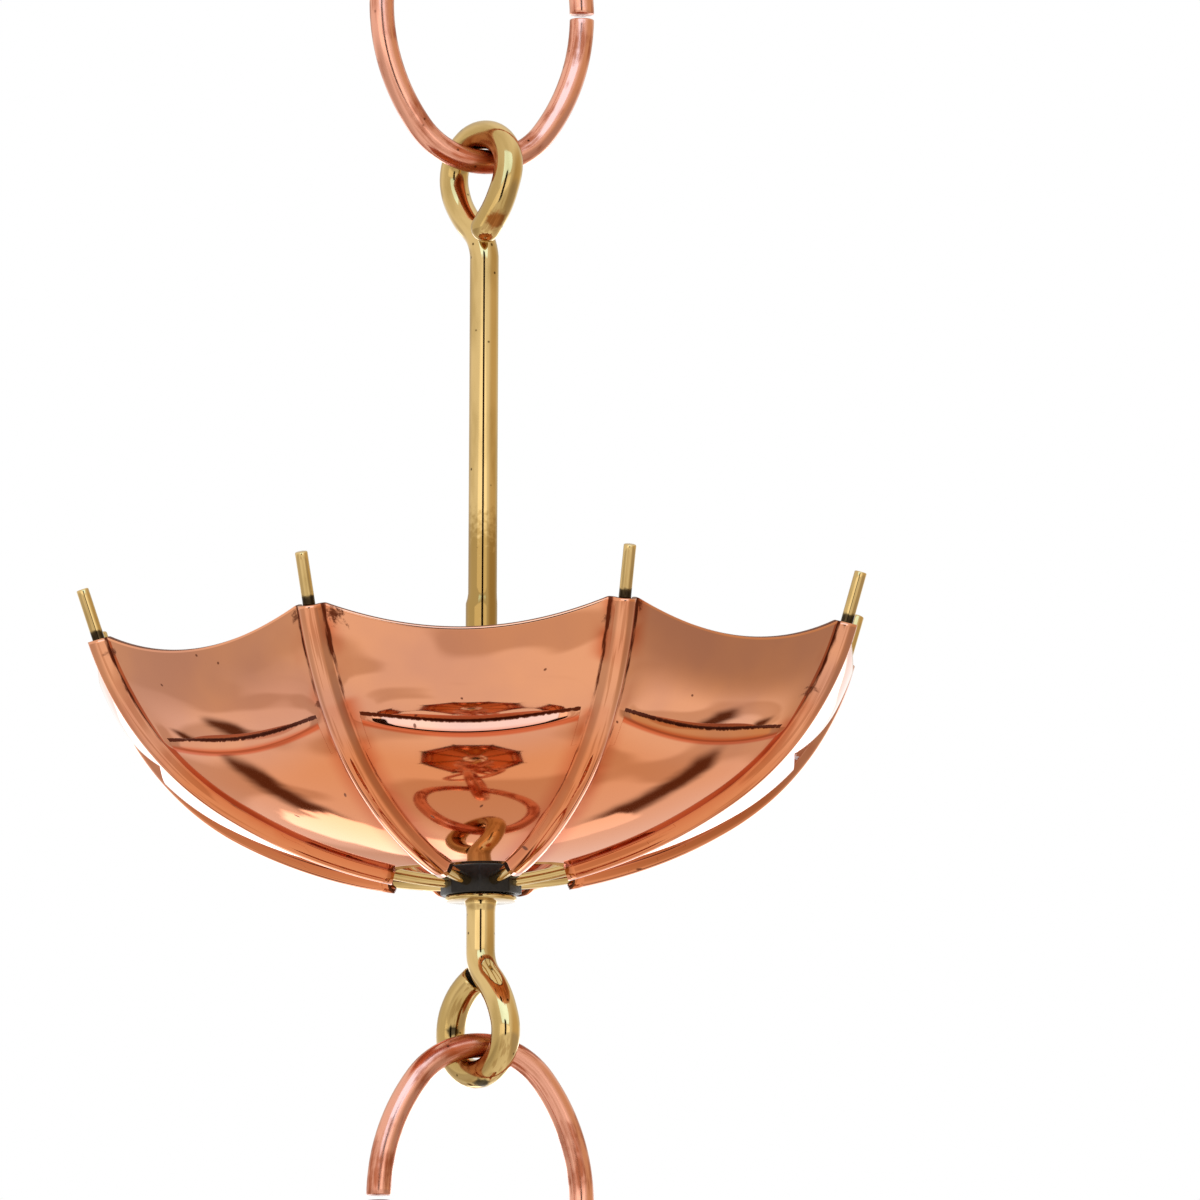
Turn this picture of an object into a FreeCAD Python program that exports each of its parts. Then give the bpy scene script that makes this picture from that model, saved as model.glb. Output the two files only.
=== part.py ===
# Rain chain: two upturned copper umbrellas on brass stems, hung one below the other in copper links.
# Millimetres, +Z up. The origin is where the chain hangs: the inside of the top bend of the top link.
import FreeCAD, Part
import math
import os
from FreeCAD import Vector

# Chain links, bent from round wire with the two ends butted at mid-side
link_height = 64.8
link_width = 46.2
link_wire = 4.8
link_end_radius = 16.0
link_gap = 1.0
hang_clearance = 0.3

# Stem, one rod with a closed eye at its top and a closed hook at its foot
stem_rod = 5.6
stem_length = 189.5
loop_width = 21.4
loop_neck_radius = 8.0
loop_side_radius = 18.0
loop_flare = 15.0
eye_end_aside = 14.0
hook_end_radius = 11.8
hook_end_turn = 58.0
hook_drop = 36.2
shoulder_rod = 6.4
shoulder_height = 1.4
crimp_rod = 6.8
crimp_length = 11.0
crimp_above_washer = 52.5

# Hub and washer
hub_across_flats = 14.6
hub_height = 5.5
hub_hole_depth = 2.6
washer_diameter = 13.8
washer_thickness = 1.0
bore_clearance = 0.1

# Canopy, a sheet of gores folded along the ribs, each bowed across about an upright axis behind the stem
gore_count = 8
gore_bow_axis = 115.0
sheet = 0.8
crown_radius = 104.0
crown_slope = 29.4
skirt_radius = 57.5
rim_slope = 71.6
opening_radius = 18.0
scallop_depth = 4.75
rim_flat = 6.0
channel_clearance = 0.25
bead_radius = 2.6
bead_proud = 1.5
bead_slope = 43.5
bead_half_length = 22.0
bead_rise = 4.2
bead_sink = 1.3

# Ribs, thin rods that lie in the canopy's folds
rib_rod = 2.4
rib_tip = 10.0

# Turn of each piece about +Z, in degrees, as the chain hangs. Before its turn a link has its butted ends
# on its +X side, and a canopy has the middle of a gore there.
top_link_turns = [20.0]
middle_link_turns = [200.0, 78.0, -29.0, 44.0, -39.0, 202.0]
bottom_link_turns = [30.0, 129.0, 31.0, -51.0]
stem_turns = [-47.0, -52.0]
canopy_turn = -90.8

# Lean of each canopy and its hub on the stem, in degrees, with the +X side up
canopy_leans = [1.2, 0.0]

# Overshoot of a cutting tool past the face that it opens
clear = 5.0

# Points that each bend of a gore is drawn through
bend_points = 5

stem_radius = stem_rod / 2
half_gore = 180.0 / gore_count
gore_share = math.cos(math.radians(half_gore))
channel_inside = rib_rod + 2 * channel_clearance
channel_outside = channel_inside + 2 * sheet
rib_line_height = channel_outside / 2


def sine(degrees):
    return math.sin(math.radians(degrees))


def cosine(degrees):
    return math.cos(math.radians(degrees))


def turned(shape, degrees):
    copy = shape.copy()
    copy.rotate(Vector(0, 0, 0), Vector(0, 0, 1), degrees)
    return copy


def fused(shapes):
    return shapes[0].fuse(shapes[1:]).removeSplitter()


def bent_rod(start, heading, runs, diameter):
    """A round rod in the XZ plane. A run is (length, 0) or (bend radius, turn), with a left turn positive."""
    x, z = start
    lengths = []
    for size, turn in runs:
        along = Vector(cosine(heading), 0, sine(heading))
        section = Part.Face(Part.Wire(Part.makeCircle(diameter / 2, Vector(x, 0, z), along)))
        if turn == 0:
            lengths.append(section.extrude(along * size))
            x += size * along.x
            z += size * along.z
            continue
        side = math.copysign(1, turn)
        middle = Vector(x - side * size * along.z, 0, z + side * size * along.x)
        lengths.append(section.revolve(middle, Vector(0, -side, 0), abs(turn)))
        heading += turn
        x = middle.x + side * size * sine(heading)
        z = middle.z - side * size * cosine(heading)
    return lengths[0] if len(lengths) == 1 else fused(lengths)


# One link, centred on the origin in the XZ plane: two end bends joined by flatter side bends
def make_link():
    half_height = (link_height - link_wire) / 2
    half_width = (link_width - link_wire) / 2
    end_offset = half_height - link_end_radius
    side_radius = (end_offset**2 + half_width**2 - link_end_radius**2) / (2 * (half_width - link_end_radius))
    side_angle = math.degrees(math.atan2(end_offset, side_radius - half_width))
    gap_angle = math.degrees(link_gap / 2 / side_radius)
    start = (half_width - side_radius + side_radius * cosine(gap_angle), side_radius * sine(gap_angle))
    end_bend = (link_end_radius, 180 - 2 * side_angle)
    half_side = (side_radius, side_angle - gap_angle)
    whole_side = (side_radius, 2 * side_angle)
    return bent_rod(start, 90 + gap_angle, [half_side, end_bend, whole_side, end_bend, half_side], link_wire)


# The loop at each end of a stem: the rod leans out at its neck, flares along its side and goes round a bow
loop_radius = (loop_width - stem_rod) / 2
lean_share = loop_neck_radius + (loop_side_radius - loop_radius) * cosine(loop_flare)
loop_lean = math.degrees(math.acos(lean_share / (loop_neck_radius + loop_side_radius)))
side_rise = loop_side_radius * (sine(loop_lean) - sine(loop_flare))
loop_middle = loop_neck_radius * sine(loop_lean) + side_rise + loop_radius * sine(loop_flare)
loop_top = loop_middle + loop_radius
loop_height = loop_top + stem_radius
neck_bend = (loop_neck_radius, loop_lean)
side_bend = (loop_side_radius, loop_flare - loop_lean)
half_bow = (loop_radius, -90 - loop_flare)


def make_eye():
    """A loop whose second half leans aside from the top, so that its rounded end lies against the neck."""
    rising = bent_rod((0, 0), 90, [neck_bend, side_bend, half_bow], stem_rod)
    falling = bent_rod((0, loop_top), 0, [half_bow, side_bend], stem_rod)
    end = Vector(loop_neck_radius * (1 - cosine(loop_lean)), 0, loop_neck_radius * sine(loop_lean))
    end_way = Vector(-sine(loop_lean), 0, -cosine(loop_lean))
    closing = fused([falling, Part.makeSphere(stem_radius, end, end_way, 0, 90)])
    closing.rotate(Vector(0, 0, loop_top), Vector(1, 0, 0), -eye_end_aside)
    return fused([rising, closing])


def make_hook():
    """A loop whose end curls in and is cut square, just short of the neck."""
    bow = (loop_radius, -180 - loop_flare)
    curl = (hook_end_radius, -hook_end_turn)
    return bent_rod((0, 0), 90, [neck_bend, side_bend, bow, curl], stem_rod)


# Stem heights, from the underside of the hub
hook_bottom = -washer_thickness - hook_drop
eye_top = hook_bottom + stem_length


def make_stem():
    neck_low = hook_bottom + loop_height
    neck_high = eye_top - loop_height
    shank = Part.makeCylinder(stem_radius, neck_high - neck_low, Vector(0, 0, neck_low))
    eye = make_eye()
    hook = make_hook()
    hook.rotate(Vector(0, 0, 0), Vector(0, 1, 0), 180)
    eye.translate(Vector(0, 0, neck_high))
    hook.translate(Vector(0, 0, neck_low))
    shoulder_top = Vector(0, 0, -washer_thickness - shoulder_height)
    shoulder = Part.makeCone(stem_radius, shoulder_rod / 2, shoulder_height, shoulder_top)
    crimp_middle = crimp_above_washer - washer_thickness
    half_crimp = crimp_length / 2
    crimp_low = Vector(0, 0, crimp_middle - half_crimp)
    lower_swell = Part.makeCone(stem_radius, crimp_rod / 2, half_crimp, crimp_low)
    upper_swell = Part.makeCone(crimp_rod / 2, stem_radius, half_crimp, Vector(0, 0, crimp_middle))
    return fused([shank, eye, hook, shoulder, lower_swell, upper_swell])


# The rib line: where two gores fold, in a plane through the axis, as bend radii and slopes
crown_edge = crown_radius * sine(crown_slope)
crown_rise = crown_radius * (1 - cosine(crown_slope))


def rib_point(slope, inset):
    """Radius and height of the rib line at a slope, moved in by inset along its normal."""
    if slope <= crown_slope:
        radius = (crown_radius - inset) * sine(slope)
        height = crown_radius - (crown_radius - inset) * cosine(slope)
    else:
        skirt = skirt_radius - inset
        radius = crown_edge - skirt_radius * sine(crown_slope) + skirt * sine(slope)
        height = crown_rise + skirt_radius * cosine(crown_slope) - skirt * cosine(slope)
    return radius, height + rib_line_height


rim_radius, rim_height = rib_point(rim_slope, 0)


def rib_rod_along(root_radius, diameter, past_rim):
    root_slope = math.degrees(math.asin(root_radius / crown_radius))
    runs = [(crown_radius, crown_slope - root_slope), (skirt_radius, rim_slope - crown_slope)]
    if past_rim:
        runs.append((past_rim, 0))
    return bent_rod(rib_point(root_slope, 0), root_slope, runs, diameter)


def make_rib():
    return rib_rod_along(hub_across_flats / 2 - hub_hole_depth, rib_rod, rib_tip)


def each_rib(shape):
    return [turned(shape, half_gore + 360 / gore_count * i) for i in range(gore_count)]


def each_gore(shape):
    return [turned(shape, 360 / gore_count * i) for i in range(gore_count)]


def gore_middle(radius):
    """Radius of a gore's middle where its folds have a radius."""
    return math.hypot(gore_share * radius + gore_bow_axis, sine(half_gore) * radius) - gore_bow_axis


def gore_arc(slopes, inset):
    """A stretch of a gore's middle line."""
    points = []
    for slope in slopes:
        radius, height = rib_point(slope, inset)
        points.append(Vector(gore_middle(radius), 0, height))
    curve = Part.BSplineCurve()
    curve.interpolate(points)
    return curve.toShape()


def bowl(inset, top):
    """The solid inside the gores, with the sheet's face moved in by inset and its mouth at a height."""
    steps = [i / (bend_points - 1) for i in range(bend_points)]
    crown = gore_arc([crown_slope * s for s in steps], inset)
    skirt = gore_arc([crown_slope + (rim_slope - crown_slope) * s for s in steps], inset)
    low = crown.Vertexes[0].Point
    edge = skirt.Vertexes[-1].Point
    mouth = Part.makePolygon([edge, Vector(edge.x, 0, top), Vector(0, 0, top), low])
    outline = Part.Wire([crown, skirt] + mouth.Edges)
    bow_axis = Vector(-gore_bow_axis, 0, 0)
    middle = Part.Face(outline)
    middle.rotate(bow_axis, Vector(0, 0, 1), -half_gore)
    across = middle.revolve(bow_axis, Vector(0, 0, 1), 2 * half_gore)
    reach = 2 * rim_radius
    corner = reach * math.tan(math.radians(half_gore))
    base = -clear
    tip = Vector(0, 0, base)
    corners = [tip, Vector(reach, -corner, base), Vector(reach, corner, base), tip]
    wedge = Part.Face(Part.makePolygon(corners)).extrude(Vector(0, 0, top - base + clear))
    return fused(each_gore(across.common(wedge)))


def make_bead(radius):
    """A bar that bows down across a gore, stands proud in the middle and sinks into the sheet at its ends."""
    slope_radius, height = rib_point(bead_slope, 0)
    gore_slope = math.degrees(math.atan2(sine(bead_slope), gore_share * cosine(bead_slope)))
    outward = Vector(sine(gore_slope), 0, -cosine(gore_slope))
    upward = Vector(cosine(gore_slope), 0, sine(gore_slope))
    middle = Vector(gore_middle(slope_radius), 0, height) + outward * (bead_proud - bead_radius)
    gore_bow_radius = gore_middle(slope_radius) + gore_bow_axis
    gore_sag = gore_bow_radius - math.sqrt(gore_bow_radius**2 - bead_half_length**2)
    bow = upward * bead_rise - outward * bead_sink - Vector(gore_sag, 0, 0)
    bow_radius = (bead_half_length**2 + bow.Length**2) / (2 * bow.Length)
    half_angle = math.degrees(math.asin(bead_half_length / bow_radius))
    bow.normalize()
    pivot = middle + bow * bow_radius
    axis = bow.cross(Vector(0, 1, 0))
    section = Part.Face(Part.Wire(Part.makeCircle(radius, middle, Vector(0, 1, 0))))
    section.rotate(pivot, axis, -half_angle)
    return section.revolve(pivot, axis, 2 * half_angle)


def make_scallop():
    half_chord = gore_share * rim_radius * math.tan(math.radians(half_gore)) - rim_flat / 2
    radius = (half_chord**2 + scallop_depth**2) / (2 * scallop_depth)
    start = Vector(0, 0, rim_height - scallop_depth + radius)
    return Part.makeCylinder(radius, 2 * rim_radius, start, Vector(1, 0, 0))


def make_canopy():
    ridge = rib_rod_along(opening_radius / 2, channel_outside, 0)
    groove = rib_rod_along(opening_radius / 2, channel_inside, clear)
    outside = bowl(0, rim_height).fuse(each_rib(ridge) + each_gore(make_bead(bead_radius)))
    inside = bowl(sheet, rim_height + clear)
    pressed = outside.cut([inside] + each_rib(groove) + each_gore(make_bead(bead_radius - sheet)))
    opening = Part.makeCylinder(opening_radius, rim_height, Vector(0, 0, -clear))
    return pressed.cut([opening] + each_gore(make_scallop())).removeSplitter()


hub_corner_radius = hub_across_flats / 2 / gore_share


def make_hub():
    corners = []
    for i in range(gore_count + 1):
        angle = half_gore + 360 / gore_count * i
        corners.append(Vector(hub_corner_radius * cosine(angle), hub_corner_radius * sine(angle), 0))
    block = Part.Face(Part.makePolygon(corners)).extrude(Vector(0, 0, hub_height))
    bore = Part.makeCylinder(stem_radius + bore_clearance, hub_height)
    hole_bottom = hub_across_flats / 2 - hub_hole_depth - bore_clearance
    hole = rib_rod_along(hole_bottom, rib_rod + 2 * bore_clearance, 0)
    return turned(block, half_gore).cut([bore] + each_rib(hole))


def make_washer():
    disc = Part.makeCylinder(washer_diameter / 2, washer_thickness, Vector(0, 0, -washer_thickness))
    bore = Part.makeCylinder(stem_radius + bore_clearance, washer_thickness, Vector(0, 0, -washer_thickness))
    return disc.cut(bore)


# The chain, from the top down. Each piece hangs with its top bend in the bottom bend of the one above.
os.makedirs("parts", exist_ok=True)
link = make_link()
stem = make_stem()
canopy = make_canopy()
hub = make_hub()
washer = make_washer()
ribs = each_rib(make_rib())


def save(shape, name, turn, height):
    placed = turned(shape, turn)
    placed.translate(Vector(0, 0, height))
    placed.exportStep("parts/" + name + ".step")


def hang_link(name, turn, top):
    """Place a link with its top bend's outside at a height, and give the outside of its bottom bend."""
    save(link, name, turn, top - link_height / 2)
    return top - link_height


def leaned(shape, lean):
    """Lean a piece of a turned canopy about its hub's middle; the hub's lowest corner stays on the washer."""
    copy = turned(shape, canopy_turn)
    copy.rotate(Vector(0, 0, hub_height / 2), Vector(0, 1, 0), -lean)
    copy.translate(Vector(0, 0, hub_corner_radius * sine(lean)))
    return copy


def hang_umbrella(number, stem_turn, lean, top):
    prefix = "umbrella_%d_" % number
    height = top - eye_top
    save(stem, prefix + "stem", stem_turn, height)
    save(washer, prefix + "washer", canopy_turn, height)
    save(leaned(canopy, lean), prefix + "canopy", 0, height)
    save(leaned(hub, lean), prefix + "hub", 0, height)
    for i, rib in enumerate(ribs):
        save(leaned(rib, lean), prefix + "rib_%d" % (i + 1), 0, height)
    return top - stem_length


top = link_wire
link_number = 0
for run, link_turns in enumerate([top_link_turns, middle_link_turns, bottom_link_turns]):
    for turn in link_turns:
        link_number += 1
        bottom = hang_link("link_%02d" % link_number, turn, top)
        top = bottom + link_wire + hang_clearance + link_wire
    if run < len(stem_turns):
        top = bottom + link_wire + hang_clearance + stem_rod
        bottom = hang_umbrella(run + 1, stem_turns[run], canopy_leans[run], top)
        top = bottom + stem_rod + hang_clearance + link_wire
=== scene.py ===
import bmesh
import bpy
import math
from mathutils import Matrix, Vector, noise


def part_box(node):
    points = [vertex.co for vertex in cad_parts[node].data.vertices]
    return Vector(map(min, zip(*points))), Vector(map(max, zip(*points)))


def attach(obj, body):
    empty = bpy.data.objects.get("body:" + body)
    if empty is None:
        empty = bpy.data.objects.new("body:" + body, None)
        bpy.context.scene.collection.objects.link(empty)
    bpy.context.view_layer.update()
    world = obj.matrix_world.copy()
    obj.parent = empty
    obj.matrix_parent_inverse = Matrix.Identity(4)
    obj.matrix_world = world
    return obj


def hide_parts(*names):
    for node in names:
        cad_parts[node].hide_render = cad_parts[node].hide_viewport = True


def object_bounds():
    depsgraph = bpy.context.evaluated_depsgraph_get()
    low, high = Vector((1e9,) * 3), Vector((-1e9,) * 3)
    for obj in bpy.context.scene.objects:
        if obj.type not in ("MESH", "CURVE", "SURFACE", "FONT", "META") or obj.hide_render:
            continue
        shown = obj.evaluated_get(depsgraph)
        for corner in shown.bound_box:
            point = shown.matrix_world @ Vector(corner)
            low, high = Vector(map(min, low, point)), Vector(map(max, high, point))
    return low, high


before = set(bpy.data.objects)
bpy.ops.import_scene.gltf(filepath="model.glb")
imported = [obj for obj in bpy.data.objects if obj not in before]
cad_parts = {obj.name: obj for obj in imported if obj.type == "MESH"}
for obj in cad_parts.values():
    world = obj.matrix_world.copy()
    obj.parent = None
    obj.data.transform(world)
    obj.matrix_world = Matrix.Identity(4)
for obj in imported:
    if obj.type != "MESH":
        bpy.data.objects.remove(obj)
cad_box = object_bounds()


# Links: drawn copper wire, bent round a former and cut so that the two ends butt at mid-side. Each hangs in
# the bend of the one above. Handling leaves the wire satin, with brown streaks of tarnish and small pits.
mm = 0.001
link_wire_radius = 2.4 * mm
link_half_width = 20.7 * mm
link_half_height = 30.0 * mm
link_end_radius = 16.0 * mm
link_end_gap = 1.0 * mm
link_turns = [20.0, 200.0, 78.0, -29.0, 44.0, -39.0, 202.0, 30.0, 129.0, 31.0, -51.0]
link_sides = 28
link_step = 1.2 * mm
cut_edge = 0.25 * mm
dome_rings = 6
sharp_angle = 50.0
pattern_shift_mm = 40.0


def swept_rod(radius, start, heading, runs, sides, step, domed=False):
    """A round rod along runs in the XZ plane, each (length, 0) or (bend radius, left turn in degrees).
    Its layer along_rod keeps each point's place in millimetres as if the rod were still straight."""
    place = Vector((start[0], 0, start[1]))
    aim = Vector((math.cos(math.radians(heading)), 0, math.sin(math.radians(heading))))
    bm = bmesh.new()
    along_rod = bm.verts.layers.float_vector.new("along_rod")
    ring = bmesh.ops.create_circle(bm, cap_ends=True, segments=sides, radius=radius)["verts"]
    for vert in ring:
        vert[along_rod] = vert.co / mm
    upright = Matrix(((0, 1, 0), (1, 0, 0), (0, 0, -1))).to_4x4()
    face_aim = Matrix.Rotation(math.radians(90 - heading), 4, "Y")
    bmesh.ops.transform(bm, matrix=Matrix.Translation(place) @ face_aim @ upright, verts=ring)
    moves = []
    for size, turn in runs:
        length = size if turn == 0 else size * math.radians(abs(turn))
        steps = max(1, round(length / step))
        if turn == 0:
            move = Matrix.Translation(aim * size / steps)
            place = place + aim * size
        else:
            middle = place + Vector((-aim.z, 0, aim.x)) * math.copysign(size, turn)
            part_bend = Matrix.Rotation(math.radians(-turn / steps), 4, "Y")
            move = Matrix.Translation(middle) @ part_bend @ Matrix.Translation(-middle)
            bend = Matrix.Rotation(math.radians(-turn), 3, "Y")
            place = middle + bend @ (place - middle)
            aim = bend @ aim
        moves += [(move, length / steps)] * steps
    for i in range(dome_rings if domed else 0):
        low = math.radians(90 * i / (dome_rings + 1))
        high = math.radians(90 * (i + 1) / (dome_rings + 1))
        shrink = Matrix.Scale(math.cos(high) / math.cos(low), 4)
        top = Matrix.Translation(place + aim * radius * math.sin(high))
        bottom = Matrix.Translation(-place - aim * radius * math.sin(low))
        moves.append((top @ shrink @ bottom, radius * (math.sin(high) - math.sin(low))))
    loop = bm.edges[:]
    travelled = 0.0
    for move, length in moves:
        grown = bmesh.ops.extrude_edge_only(bm, edges=loop)["geom"]
        ring = {item for item in grown if isinstance(item, bmesh.types.BMVert)}
        loop = [item for item in grown if isinstance(item, bmesh.types.BMEdge) and ring.issuperset(item.verts)]
        bmesh.ops.transform(bm, matrix=move, verts=list(ring))
        travelled += length
        for vert in ring:
            vert[along_rod].z = travelled / mm
    bmesh.ops.edgeloop_fill(bm, edges=loop)
    cut_faces = [face for face in bm.faces if len(face.verts) == sides and face.calc_area() > radius * radius]
    cut_rims = [edge for face in cut_faces for edge in face.edges]
    bmesh.ops.bevel(bm, geom=cut_rims, offset=cut_edge, segments=2, affect="EDGES", profile=0.5, material=-1)
    bmesh.ops.recalc_face_normals(bm, faces=bm.faces)
    return bm


def place_piece(bm, name, place, materials, body, node):
    """Put a mesh in its place on the chain and let it stand for its CAD node."""
    bm.transform(place)
    mesh = bpy.data.meshes.new(name)
    bm.to_mesh(mesh)
    bm.free()
    mesh.polygons.foreach_set("use_smooth", [True] * len(mesh.polygons))
    mesh.set_sharp_from_angle(angle=math.radians(sharp_angle))
    for material in materials:
        mesh.materials.append(material)
    piece = bpy.data.objects.new(name, mesh)
    bpy.context.scene.collection.objects.link(piece)
    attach(piece, body)
    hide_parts(node)
    return piece


def on_axis(turn, height):
    """The place of a piece that is turned about the chain's axis and stands at a height."""
    return Matrix.Translation((0, 0, height)) @ Matrix.Rotation(math.radians(turn), 4, "Z")


def rgb(hex_colour):
    """A linear colour from an sRGB hex value."""
    channels = [int(hex_colour[i:i + 2], 16) / 255 for i in (1, 3, 5)]
    linear = [c / 12.92 if c <= 0.04045 else ((c + 0.055) / 1.055) ** 2.4 for c in channels]
    return (*linear, 1.0)


def add_node(tree, kind, settings=None, inputs=None):
    """Add a node with its settings, and give each input a value or another node's output."""
    node = tree.nodes.new(kind)
    for name, value in (settings or {}).items():
        setattr(node, name, value)
    for name, value in (inputs or {}).items():
        if isinstance(value, bpy.types.NodeSocket):
            tree.links.new(value, node.inputs[name])
        else:
            node.inputs[name].default_value = value
    return node


def new_metal(name):
    """A material with a plain metal shader, and its node tree."""
    material = bpy.data.materials.new(name)
    material.use_nodes = True
    tree = material.node_tree
    shader = tree.nodes["Principled BSDF"]
    shader.inputs["Metallic"].default_value = 1.0
    return material, tree, shader


link_end_offset = link_half_height - link_end_radius
link_side_radius = (link_end_offset**2 + link_half_width**2 - link_end_radius**2) / (
    2 * (link_half_width - link_end_radius))
link_side_angle = math.degrees(math.atan2(link_end_offset, link_side_radius - link_half_width))
gap_angle = math.degrees(link_end_gap / 2 / link_side_radius)
link_start = (link_half_width - link_side_radius * (1 - math.cos(math.radians(gap_angle))), link_end_gap / 2)
end_bend = (link_end_radius, 180 - 2 * link_side_angle)
half_side = (link_side_radius, link_side_angle - gap_angle)
whole_side = (link_side_radius, 2 * link_side_angle)
link_runs = [half_side, end_bend, whole_side, end_bend, half_side]
top_contact = half_side[0] * math.radians(half_side[1]) + end_bend[0] * math.radians(end_bend[1]) / 2
foot_contact = (top_contact + whole_side[0] * math.radians(whole_side[1])
                + end_bend[0] * math.radians(end_bend[1]))

# Drawn copper: a satin pink metal, streaked along the wire, orange-brown within a few millimetres of where one
# link bears on the next.
copper_wire, tree, shader = new_metal("drawn copper wire")
rod_place = add_node(tree, "ShaderNodeAttribute", {"attribute_name": "along_rod"}).outputs["Vector"]
streak_width_mm = 1.3
streak_length_mm = 14.0
drawn = add_node(tree, "ShaderNodeMapping", {}, {
    "Vector": rod_place,
    "Scale": (1 / streak_width_mm, 1 / streak_width_mm, 1 / streak_length_mm)}).outputs[0]
streaks = add_node(tree, "ShaderNodeTexNoise", {}, {
    "Vector": drawn, "Scale": 1.0, "Detail": 4.0, "Roughness": 0.6}).outputs[0]
patch_mm = 7.0
patches = add_node(tree, "ShaderNodeTexNoise", {}, {
    "Vector": rod_place, "Scale": 1 / patch_mm, "Detail": 3.0}).outputs[0]
tarnish = add_node(tree, "ShaderNodeMapRange", {"interpolation_type": "SMOOTHSTEP"}, {
    "Value": add_node(tree, "ShaderNodeMath", {"operation": "MULTIPLY"}, {0: streaks, 1: patches}).outputs[0],
    "From Min": 0.22, "From Max": 0.38}).outputs[0]
copper_tone = add_node(tree, "ShaderNodeMix", {"data_type": "RGBA"}, {
    0: tarnish, 6: rgb("#D9997F"), 7: rgb("#A35A3C")}).outputs[2]
travelled = add_node(tree, "ShaderNodeSeparateXYZ", {}, {0: rod_place}).outputs["Z"]
from_contact = add_node(tree, "ShaderNodeMath", {"operation": "PINGPONG"}, {
    0: add_node(tree, "ShaderNodeMath", {"operation": "SUBTRACT"}, {
        0: travelled, 1: top_contact / mm}).outputs[0],
    1: (foot_contact - top_contact) / 2 / mm}).outputs[0]
contact_tint_start_mm = 3.0
contact_tint_reach_mm = 15.0
near_contact = add_node(tree, "ShaderNodeMapRange", {"interpolation_type": "SMOOTHSTEP"}, {
    "Value": from_contact, "From Min": contact_tint_start_mm, "From Max": contact_tint_reach_mm,
    "To Min": 1.0, "To Max": 0.0}).outputs[0]
contact_tint = add_node(tree, "ShaderNodeMapRange", {"interpolation_type": "SMOOTHSTEP"}, {
    "Value": add_node(tree, "ShaderNodeMath", {"operation": "MULTIPLY"}, {0: near_contact, 1: streaks}).outputs[0],
    "From Min": 0.3, "From Max": 0.6, "To Max": 0.85}).outputs[0]
contact_tinted_tone = add_node(tree, "ShaderNodeMix", {"data_type": "RGBA"}, {
    0: contact_tint, 6: copper_tone, 7: rgb("#A8502A")}).outputs[2]
pit_spacing_mm = 2.4
pits = add_node(tree, "ShaderNodeTexVoronoi", {}, {"Vector": rod_place, "Scale": 1 / pit_spacing_mm})
pit = add_node(tree, "ShaderNodeMapRange", {}, {
    "Value": pits.outputs["Distance"], "From Min": 0.08, "From Max": 0.15,
    "To Min": 1.0, "To Max": 0.0}).outputs[0]
tarnish_and_contact_tint = add_node(tree, "ShaderNodeMath", {"operation": "MAXIMUM"}, {0: tarnish, 1: contact_tint}).outputs[0]
pitted = add_node(tree, "ShaderNodeMath", {"operation": "MULTIPLY"}, {0: pit, 1: tarnish_and_contact_tint}).outputs[0]
tree.links.new(add_node(tree, "ShaderNodeMix", {"data_type": "RGBA"}, {
    0: pitted, 6: contact_tinted_tone, 7: rgb("#3B1A10")}).outputs[2], shader.inputs["Base Color"])
tree.links.new(add_node(tree, "ShaderNodeMapRange", {}, {
    "Value": tarnish_and_contact_tint, "To Min": 0.16, "To Max": 0.34}).outputs[0], shader.inputs["Roughness"])

for number, turn in enumerate(link_turns, start=1):
    node = "link_%02d" % number
    low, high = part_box(node)
    bm = swept_rod(link_wire_radius, link_start, 90 + gap_angle, link_runs, link_sides, link_step)
    along_rod = bm.verts.layers.float_vector["along_rod"]
    for vert in bm.verts:
        vert[along_rod].x += pattern_shift_mm * number
    place = on_axis(turn, (low[2] + high[2]) / 2)
    place_piece(bm, node + "_wire", place, [copper_wire], node, node)


# Stems: one brass rod each, bent to an eye at the top, whose rounded end lies in front of its own neck, and to
# a hook at the foot, whose sawn end is set back behind the neck. A crimp in the cup and a shoulder under the
# washer hold the hub.
stem_radius = 2.8 * mm
stem_sides = 32
stem_step = 1.0 * mm
stem_turns = [-47.0, -52.0]
stem_length = 189.5 * mm
loop_radius = 7.9 * mm
loop_neck_radius = 8.0 * mm
loop_side_radius = 18.0 * mm
loop_flare = 15.0
eye_end_aside = 14.0
eye_end_ease = 0.7
hook_end_radius = 11.8 * mm
hook_end_turn = 58.0
hook_drop = 36.2 * mm
hook_end_length = 1.6 * mm
hook_end_back = 1.6 * mm
eye_end_length = 2.6 * mm
eye_set = 0.7 * mm
hook_set = 0.4 * mm
loop_set_length = 12.0 * mm
eye_settle = 0.22 * mm
stem_tilt = 0.004
crimp_top = 58.4 * mm
crimp_length = 12.0 * mm
crimp_bulge = 0.45 * mm
crimp_rise = 12
crimp_fall = 2
crimp_far_side = 0.2
shoulder_swell = 0.14
shoulder_height = 1.4 * mm
washer_thickness = 1.0 * mm
sawn_depth_mm = 0.5
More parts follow.
